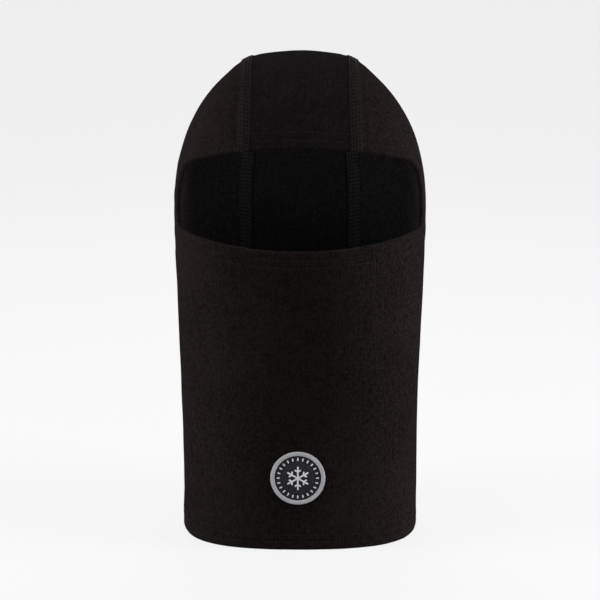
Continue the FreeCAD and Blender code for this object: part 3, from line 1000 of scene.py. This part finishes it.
def tube(name, path, upward, radius, closed=False, sides=6):
    """A round tube along a path, mapped with its length and its turn."""
    if closed:
        ahead = np.roll(path, -1, axis=0) - np.roll(path, 1, axis=0)
    else:
        ahead = np.gradient(path, axis=0)
    ahead /= np.linalg.norm(ahead, axis=1)[:, None]
    beside = np.cross(ahead, upward)
    beside /= np.linalg.norm(beside, axis=1)[:, None]
    over = np.cross(beside, ahead)
    turn = np.arange(sides) * 2 * math.pi / sides
    ring = np.cos(turn)[:, None, None] * beside + np.sin(turn)[:, None, None] * over
    points = (path + radius * ring).transpose(1, 0, 2).reshape(-1, 3)
    count = len(path)
    length = run_of(path)
    length = np.append(length, length[-1] + np.linalg.norm(path[0] - path[-1]))
    faces, places = [], []
    for row in range(count if closed else count - 1):
        here, there = row * sides, (row + 1) % count * sides
        for side in range(sides):
            after = (side + 1) % sides
            faces.append((here + side, here + after, there + after, there + side))
            for mark, share in ((row, side), (row, side + 1), (row + 1, side + 1), (row + 1, side)):
                places.append((length[mark], share / sides))
    if not closed:
        faces.append(tuple(range(sides))[::-1])
        faces.append(tuple(range((count - 1) * sides, count * sides)))
        places += [(0.0, 0.0)] * sides + [(length[count - 1], 0.0)] * sides
    piece = new_piece(name, points.tolist(), faces)
    layer = piece.data.uv_layers.new(name="strand")
    layer.data.foreach_set("uv", np.array(places).ravel())
    return piece


def make_twist_group():
    """The slanting plies of a twisted thread, with a little lint."""
    group, take, give = new_group(
        "twisted_thread",
        [("Plies per metre", "NodeSocketFloat", 1700.0), ("Lint", "NodeSocketFloat", 0.3)],
        [("Height", "NodeSocketFloat")],
    )
    times, plus, place = sums(group)
    split = split_map(group, "strand")
    along = times(split.outputs[0], take.outputs["Plies per metre"])
    slant = plus(along, times(split.outputs[1], 2.0))
    ply = maths(group, "ABSOLUTE", maths(group, "SINE", times(slant, math.pi)))
    lint = times(noise(group, place, 3200.0, 2.0), take.outputs["Lint"])
    group.links.new(plus(ply, lint), give.inputs["Height"])
    return group


def make_thread_material(name, deep, pale):
    """Twisted thread, its colour darker between its plies as painted shade and paler on them."""
    material, tree, shader = new_finish(name)
    twist = place_group(tree, twist_group)
    # Painted shade, partly lint tone: the colour follows the plies' height, darker in the grooves
    # between them.
    plies = two_tone(tree, twist.outputs["Height"], deep, pale)
    tree.links.new(plies, shader.inputs["Base Color"])
    raise_grain(tree, shader, twist.outputs["Height"], 0.8, 0.06 * MM)
    shader.inputs["Roughness"].default_value = 0.62
    shader.inputs["Specular IOR Level"].default_value = 0.02
    shader.inputs["Sheen Weight"].default_value = 0.004
    shader.inputs["Sheen Roughness"].default_value = 0.4
    return material


twist_group = make_twist_group()
sewing_thread = make_thread_material(
    "black_thread", (0.0056, 0.0045, 0.0044), (0.0142, 0.0115, 0.0110))
looper_thread = make_thread_material(
    "charcoal_thread", (0.045, 0.044, 0.047), (0.140, 0.136, 0.146))


def over_cloth(points, heights):
    """Lift points off the cloth's outer face."""
    normals = form_normals(points)
    return points + normals * (cloth_height(points) + heights)[:, None], normals


def under_cloth(points, heights):
    """Put points off the cloth's inner face."""
    normals = form_normals(points)
    return points + normals * (inner_height(points) - heights)[:, None], normals


def stitch_steps(track, pitch, closed=False):
    """Ten points to each stitch along a track."""
    ends = np.concatenate([track, track[:1]]) if closed else track
    length = run_of(ends)[-1]
    return even_steps(track, length / (10 * round(length / pitch)), closed)


def needle_path(track, first, raised=0.0):
    """Stitches along a track: seven points over the cloth, three inside it."""
    step = (np.arange(len(track)) + first) % 10
    top, normals = over_cloth(track, STITCH_TOP[step] + raised)
    inside, _ = under_cloth(track, 0.22 * MM)
    return np.where(STITCH_INSIDE[step][:, None], inside, top), normals


def finish_thread(piece, node):
    """Dye a thread and fix it to the hood in place of its design node."""
    piece.data.materials.append(looper_thread if "looper" in node else sewing_thread)
    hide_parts(node)
    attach(piece, "hood")


# ---------------------------------------------------------------- long seam threads
# Each long seam is a flat seam: four needle threads in straight rows, a cover
# thread that crosses them on the outside like the rungs of a ladder, and a charcoal
# looper thread that runs in upright rows of loops on the inside.
SEAM_PITCH = 2.9 * MM
NEEDLE_PITCH = 2.1 * MM
NEEDLE_ROWS = (-1.5 * NEEDLE_PITCH, -0.5 * NEEDLE_PITCH, 0.5 * NEEDLE_PITCH, 1.5 * NEEDLE_PITCH)
LADDER_ROWS = np.linspace(-4.4, 4.4, 5) * MM
LOOP_STEPS = 24


def seam_ribbon(side, step):
    """Points across the seam band: rows of equal count, one for each ladder offset."""
    tracks = [along_seam(side, offset) for offset in LADDER_ROWS]
    middle = even_steps(tracks[2], step)
    rows = []
    for track in tracks:
        length = run_of(track)
        rows.append(at_lengths(track, length, np.linspace(0, length[-1], len(middle))))
    return np.stack(rows)


def on_ribbon(ribbon, place, offset):
    """Points at a place along a ribbon, counted in its steps, and an offset across it."""
    place = np.clip(place, 0, ribbon.shape[1] - 1.001)
    row = np.clip((offset - LADDER_ROWS[0]) / (LADDER_ROWS[1] - LADDER_ROWS[0]), 0, 3.999)
    low, part = row.astype(int), (row % 1)[:, None]
    left, share = place.astype(int), (place % 1)[:, None]
    near = ribbon[low, left] * (1 - share) + ribbon[low, left + 1] * share
    far = ribbon[low + 1, left] * (1 - share) + ribbon[low + 1, left + 1] * share
    return near * (1 - part) + far * part


def make_seam_threads(side, label):
    """The six threads of one long seam."""
    for number, offset in enumerate(NEEDLE_ROWS, start=1):
        track = stitch_steps(along_seam(side, offset), SEAM_PITCH)
        path, upward = needle_path(track, 3 * number)
        name = "%s_seam_needle_thread_%d" % (label, number)
        finish_thread(tube(name + "_yarn", path, upward, THREAD), name)
    ribbon = seam_ribbon(side, SEAM_PITCH / 4)
    stitches = (ribbon.shape[1] - 1) / 4
    phase = np.arange(0.1, stitches - 0.1, 1 / 16)
    swing = np.arcsin(0.97 * np.cos(2 * math.pi * phase)) / (math.pi / 2)
    points = on_ribbon(ribbon, 4 * phase, 3.45 * MM * swing)
    path, upward = over_cloth(points, np.full(len(points), 0.11 * MM))
    name = label + "_seam_cover_thread"
    finish_thread(tube(name + "_yarn", path, upward, THREAD, sides=5), name)
    turns = int(2 * (stitches - 10))
    steps = np.arange(turns * LOOP_STEPS)
    crossing = 4 * (steps % LOOP_STEPS) / LOOP_STEPS
    row = np.floor(crossing) + ease(crossing % 1, 0.40, 0.60)
    forward = steps // LOOP_STEPS % 2 == 0
    offset = (np.where(forward, row, 4 - row) - 2) * NEEDLE_PITCH
    along = 5 + steps / (2 * LOOP_STEPS) + 0.36 * np.sin(math.pi * crossing + 0.01)
    points = on_ribbon(ribbon, 4 * along, offset)
    path, upward = under_cloth(points, np.full(len(points), 0.14 * MM))
    name = label + "_seam_looper_thread"
    finish_thread(tube(name + "_yarn", path, upward, THREAD, sides=5), name)


make_seam_threads(-1, "left")
make_seam_threads(1, "right")


# ---------------------------------------------------------------- hem threads
# Both hems are cover-stitched: two needle threads in parallel rows on the outside
# and one looper thread that zigzags between them on the turned-in layer inside.
HEM_PITCH = 2.6 * MM


def hem_track(kind, offset):
    """A closed track round the face opening or the neck, at a depth from its edge."""
    if kind == "face":
        return round_opening(offset)
    turn = np.arange(1600) * 2 * math.pi / 1600
    return on_form(turn, np.full(1600, np.interp(offset, MERIDIAN[:, 0], MERIDIAN_LENGTH)))


def over_seams(points):
    """How much a hem's stitches rise where they cross a long seam."""
    seam_here = (points[:, 1] > 0) | (points[:, 2] > EYE_CENTRE_LEVEL)
    away = np.abs(seam_distance(points))
    return 0.34 * MM * seam_here * (1 - ease(away, SEAM_BAND, SEAM_BAND + 1.2 * MM))


def make_hem_threads(kind):
    """The three threads of one hem."""
    for number, offset in enumerate(HEM_ROWS, start=1):
        track = stitch_steps(hem_track(kind, offset), HEM_PITCH, closed=True)
        path, upward = needle_path(track, 4 * number, over_seams(track))
        name = "%s_hem_needle_thread_%d" % (kind, number)
        finish_thread(tube(name + "_yarn", path, upward, THREAD, closed=True), name)
    near = stitch_steps(hem_track(kind, HEM_ROWS[0]), HEM_PITCH, closed=True)
    count = len(near) * 2
    marks = np.arange(count) / count
    rows = []
    for offset in HEM_ROWS:
        track = hem_track(kind, offset)
        track = np.concatenate([track, track[:1]])
        length = run_of(track)
        rows.append(at_lengths(track, length, marks * length[-1]))
    swing = (0.5 + 0.5 * np.sin(2 * math.pi * np.arange(count) / 16))[:, None]
    points = rows[0] * (1 - swing) + rows[1] * swing
    path, upward = under_cloth(points, np.full(count, 0.16 * MM))
    name = kind + "_hem_looper_thread"
    finish_thread(tube(name + "_yarn", path, upward, THREAD, closed=True, sides=5), name)


make_hem_threads("face")
make_hem_threads("neck")


# ---------------------------------------------------------------- badge
# A round patch of soft moulded plastic on the front of the neck: a dark base with a
# raised grey rim, a raised dark disc, and a pale ring of ticks round a frost star.
BADGE_DISC = 10.9 * MM
BADGE_RIM = 2.9 * MM
TICKS = 24
TICK_LONG = 2.2 * MM
TICK_WIDE = 0.9 * MM
STAR_ARM = 8.4 * MM
STAR_FORK = 2.6 * MM
STAR_WIDE = 1.1 * MM


def badge_surface(across, up, height):
    """A point over the cloth at the badge, from its place in the badge's round."""
    x = BADGE_PLACE[0] + across
    z = BADGE_PLACE[1] + up
    wide = np.interp(z, MERIDIAN[:, 0], MERIDIAN[:, 1])
    front = np.interp(z, MERIDIAN[:, 0], MERIDIAN[:, 2])
    points = np.stack([x, -front * oval_depth(np.abs(x) / wide), z], axis=-1)
    return points + form_normals(points) * np.broadcast_to(height, x.shape)[..., None]


def turned_piece(profile, closed, count=144):
    """A moulding made by turning a profile of (radius, height) in millimetres."""
    profile = np.array(profile) * MM
    turn = np.arange(count) * 2 * math.pi / count
    rings = []
    for radius, height in profile:
        rings.append(badge_surface(radius * np.cos(turn), radius * np.sin(turn), height))
    points = np.concatenate(rings)
    faces = []
    rows = len(profile)
    for row in range(rows if closed else rows - 1):
        here, there = row * count, (row + 1) % rows * count
        for side in range(count):
            after = (side + 1) % count
            faces.append((here + side, there + side, there + after, here + after))
    if not closed:
        faces.append(tuple(range(count)))
        faces.append(tuple(range((rows - 1) * count, rows * count))[::-1])
    return moulding(points, faces)


def moulding(points, faces):
    """A closed solid piece from points and faces."""
    piece = new_piece("moulding", points.tolist(), faces)
    turn_faces_out(piece.data)
    return piece


def raised_bars(bars, low, high):
    """Round-ended raised bars, each (start, angle, long, wide) in the badge's round."""
    all_points, faces = [], []
    for number, (start, angle, long, wide) in enumerate(bars):
        end = np.linspace(-math.pi / 2, math.pi / 2, 7)
        half = wide / 2
        along = np.concatenate([long - half + half * np.cos(end), half - half * np.cos(end)])
        beside = np.concatenate([half * np.sin(end), -half * np.sin(end)])
        first = sum(len(points) for points in all_points)
        count = len(along)
        top = high + 0.004 * MM * (number % 9)
        for inset, height in ((0.0, low), (0.0, top - 0.10 * MM), (0.03 * MM, top - 0.04 * MM),
                              (0.10 * MM, top)):
            shrink = 1 - inset / half
            a = long / 2 + (along - long / 2) * (1 - 2 * inset / long)
            b = beside * shrink
            across = start[0] + a * math.cos(angle) - b * math.sin(angle)
            up = start[1] + a * math.sin(angle) + b * math.cos(angle)
            all_points.append(badge_surface(across, up, height))
        for row in range(3):
            here, there = first + row * count, first + (row + 1) * count
            for side in range(count):
                after = (side + 1) % count
                faces.append((here + side, here + after, there + after, there + side))
        faces.append(tuple(range(first, first + count))[::-1])
        faces.append(tuple(range(first + 3 * count, first + 4 * count)))
    return moulding(np.concatenate(all_points), faces)


def make_moulded_group():
    """Fine grain of a matt mould and faint handling marks."""
    group, take, give = new_group(
        "moulded_grain",
        [("Grain", "NodeSocketFloat", 1500.0)],
        [("Height", "NodeSocketFloat"), ("Marks", "NodeSocketFloat")],
    )
    place = group.nodes.new("ShaderNodeTexCoord").outputs["Object"]
    grain = noise(group, place, take.outputs["Grain"], 3.0, 0.6)
    group.links.new(grain, give.inputs["Height"])
    broad = noise(group, place, 130.0, 4.0, 0.6)
    group.links.new(broad, give.inputs["Marks"])
    return group


moulded_group = make_moulded_group()


def moulded_material(name, colour, roughness):
    """Matt soft plastic, faintly marked by handling."""
    material, tree, shader = new_finish(name)
    grain = place_group(tree, moulded_group)
    handled = [0.86 * part for part in colour]
    tint = two_tone(tree, grain.outputs["Marks"], handled, colour, 0.3, 0.7)
    tree.links.new(tint, shader.inputs["Base Color"])
    rough = tree.nodes.new("ShaderNodeMapRange")
    rough.inputs["To Min"].default_value = roughness - 0.07
    rough.inputs["To Max"].default_value = roughness + 0.07
    tree.links.new(grain.outputs["Marks"], rough.inputs["Value"])
    tree.links.new(rough.outputs["Result"], shader.inputs["Roughness"])
    raise_grain(tree, shader, grain.outputs["Height"], 0.35, 0.04 * MM)
    shader.inputs["Specular IOR Level"].default_value = 0.12
    return material


badge_finishes = {
    "badge_dark": moulded_material("dark_plastic", (0.0080, 0.0080, 0.0105), 0.62),
    "badge_grey": moulded_material("grey_plastic", (0.22, 0.22, 0.23), 0.55),
    "badge_pale": moulded_material("pale_plastic", (0.36, 0.36, 0.37), 0.55),
}


def finish_badge(node, piece, finish):
    """Colour a moulding and fix it to the hood in place of its design node."""
    piece.name = node + "_moulding"
    piece.data.materials.append(badge_finishes[finish])
    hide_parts(node)
    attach(piece, "hood")


outer = BADGE_RADIUS / MM
disc = BADGE_DISC / MM
inner = outer - BADGE_RIM / MM
finish_badge("badge_base", turned_piece([
    (1.5, 1.0), (5, 1.0), (9, 1.0), (13, 1.0), (inner, 1.0), (outer - 0.6, 1.0),
    (outer - 0.25, 0.93), (outer - 0.06, 0.78), (outer, 0.55), (outer, 0.1), (outer - 0.1, -0.5),
    (13, -0.5), (5, -0.5), (1.5, -0.5)], closed=False), "badge_dark")
finish_badge("badge_rim", turned_piece([
    (inner, 0.95), (inner, 1.38), (inner + 0.12, 1.53), (inner + 0.4, 1.60),
    (inner + 1.4, 1.62), (outer - 0.55, 1.60), (outer - 0.25, 1.52), (outer - 0.1, 1.38),
    (outer - 0.1, 0.9)], closed=True), "badge_grey")
finish_badge("badge_disc", turned_piece([
    (1.5, 1.40), (4, 1.40), (7, 1.40), (disc - 0.5, 1.40), (disc - 0.18, 1.34),
    (disc, 1.2), (disc, 0.95), (7, 0.95), (1.5, 0.95)], closed=False), "badge_dark")

tick_start = (inner * MM + BADGE_DISC - TICK_LONG) / 2
bars = []
for number in range(TICKS):
    angle = 2 * math.pi * number / TICKS
    start = (tick_start * math.cos(angle), tick_start * math.sin(angle))
    bars.append((start, angle, TICK_LONG, TICK_WIDE))
finish_badge("badge_ticks", raised_bars(bars, 0.95 * MM, 1.38 * MM), "badge_pale")

bars = []
for number in range(6):
    angle = math.pi / 2 + math.pi / 3 * number
    bars.append(((0.0, 0.0), angle, STAR_ARM, STAR_WIDE))
    fork = (0.55 * STAR_ARM * math.cos(angle), 0.55 * STAR_ARM * math.sin(angle))
    for turn in (-math.pi / 3, math.pi / 3):
        bars.append((fork, angle + turn, STAR_FORK, STAR_WIDE))
finish_badge("badge_star", raised_bars(bars, 1.35 * MM, 1.78 * MM), "badge_pale")


# ---------------------------------------------------------------- care label
# A blank white satin tape hangs inside the centre back of the neck. Its top edge is
# tacked to the cloth with a short black zigzag, so the tape bends there.
label_low, label_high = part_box("care_label")
LABEL_THICK = 0.34 * MM
LABEL_SEWN = 4.2 * MM
TACK_LEVEL = label_high.z + 2.0 * MM
TACK_HALF = 11.2 * MM
TACK_TURNS = 20


def back_wall(x, z):
    """Where the cloth's inner face lies at the back of the hood."""
    wide = np.interp(z, MERIDIAN[:, 0], MERIDIAN[:, 1])
    back = np.interp(z, MERIDIAN[:, 0], MERIDIAN[:, 3])
    points = np.stack([x, back * oval_depth(np.abs(x) / wide), z], axis=-1)
    return points[..., 1] - CLOTH + 0.6 * cloth_height(points)


def label_depth(x, z):
    """Where the middle of the tape lies: on the cloth at its sewn edge, free below."""
    sewn = back_wall(x, z) - 0.30 * MM - LABEL_THICK / 2
    down = label_high.z - z
    curl = 1.5 * MM * ease(down, 14 * MM, 44 * MM) + 0.5 * MM * bump(down - 17 * MM, 8 * MM)
    twist = 0.035 * x * ease(down, 6 * MM, 38 * MM) + 5.0 * x * x * ease(down, 4 * MM, 20 * MM)
    hung = (label_low.y + label_high.y) / 2 - curl + twist
    lift = ease(z, label_high.z - 1.5 * MM, label_high.z + 1.2 * MM)
    return hung * (1 - lift) + sewn * lift


def make_care_label():
    """The tape, slightly curled and twisted, with thicker woven selvedges."""
    half = (label_high.x - label_low.x) / 2
    columns = np.concatenate([[-half, -half + 0.2 * MM], np.linspace(-half + 0.7 * MM,
                             half - 0.7 * MM, 23), [half - 0.2 * MM, half]])
    rows = np.linspace(label_low.z, label_high.z + LABEL_SEWN, 44)
    x, z = np.meshgrid(columns, rows)
    selvedge = 0.07 * MM * bump(half - np.abs(x), 0.6 * MM)
    weave = 0.02 * MM * np.sin(x / (1.3 * MM)) * np.sin(z / (2.1 * MM))
    thick = LABEL_THICK / 2 + selvedge + weave
    centre = label_depth(x, z)
    near = np.stack([x, centre - thick, z], axis=-1).reshape(-1, 3)
    far = np.stack([x, centre + thick, z], axis=-1).reshape(-1, 3)
    faces = grid_faces(len(rows), len(columns))
    back, sides = closing_faces(faces, len(near))
    label = moulding(np.concatenate([near, far]), faces + back + sides)
    label.name = "care_label_tape"
    layer = label.data.uv_layers.new(name="tape")
    for loop in label.data.loops:
        place = label.data.vertices[loop.vertex_index].co
        layer.data[loop.index].uv = (place.x, place.z)
    return label


def make_satin_group():
    """Fine floats of a satin weave, lengthways, with faint cross lines."""
    group, take, give = new_group(
        "satin_weave",
        [("Threads per metre", "NodeSocketFloat", 2600.0)],
        [("Height", "NodeSocketFloat"), ("Shade", "NodeSocketFloat")],
    )
    times, plus, place = sums(group)
    split = split_map(group, "tape")
    across = times(split.outputs[0], take.outputs["Threads per metre"])
    up = times(split.outputs[1], take.outputs["Threads per metre"])
    warp = maths(group, "ABSOLUTE", maths(group, "SINE", times(across, math.pi)))
    step = plus(times(up, 0.2), times(across, 0.4))
    weft = maths(group, "ABSOLUTE", maths(group, "SINE", times(step, math.pi)))
    group.links.new(plus(times(warp, 0.7), times(weft, 0.3)), give.inputs["Height"])
    group.links.new(noise(group, place, 160.0, 3.0), give.inputs["Shade"])
    return group


def make_satin_material():
    """White satin, faintly uneven."""
    material, tree, shader = new_finish("label_satin")
    satin = place_group(tree, make_satin_group())
    white = two_tone(
        tree, satin.outputs["Shade"], (0.60, 0.60, 0.58), (0.72, 0.72, 0.70), 0.3, 0.7)
    tree.links.new(white, shader.inputs["Base Color"])
    raise_grain(tree, shader, satin.outputs["Height"], 0.4, 0.05 * MM)
    shader.inputs["Roughness"].default_value = 0.42
    shader.inputs["Anisotropic"].default_value = 0.5
    shader.inputs["Sheen Weight"].default_value = 0.15
    return material


care_label = make_care_label()
care_label.data.materials.append(make_satin_material())
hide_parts("care_label")
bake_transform(care_label)

tack_turn = np.arange(0, TACK_TURNS, 1 / 8)
tack_x = -TACK_HALF + 2 * TACK_HALF * tack_turn / tack_turn[-1]
tack_z = TACK_LEVEL + 0.75 * MM * np.arcsin(0.96 * np.sin(2 * math.pi * tack_turn)) / (math.pi / 2)
tack_dip = 0.30 * MM * np.abs(np.sin(2 * math.pi * tack_turn)) ** 6
tack_y = label_depth(tack_x, tack_z) - LABEL_THICK / 2 - 0.14 * MM + tack_dip
tack_path = np.stack([tack_x, tack_y, tack_z], axis=-1)
tack_up = np.tile((0.0, -1.0, 0.0), (len(tack_path), 1))
finish_thread(tube("label_tack_thread_yarn", tack_path, tack_up, THREAD), "label_tack_thread")
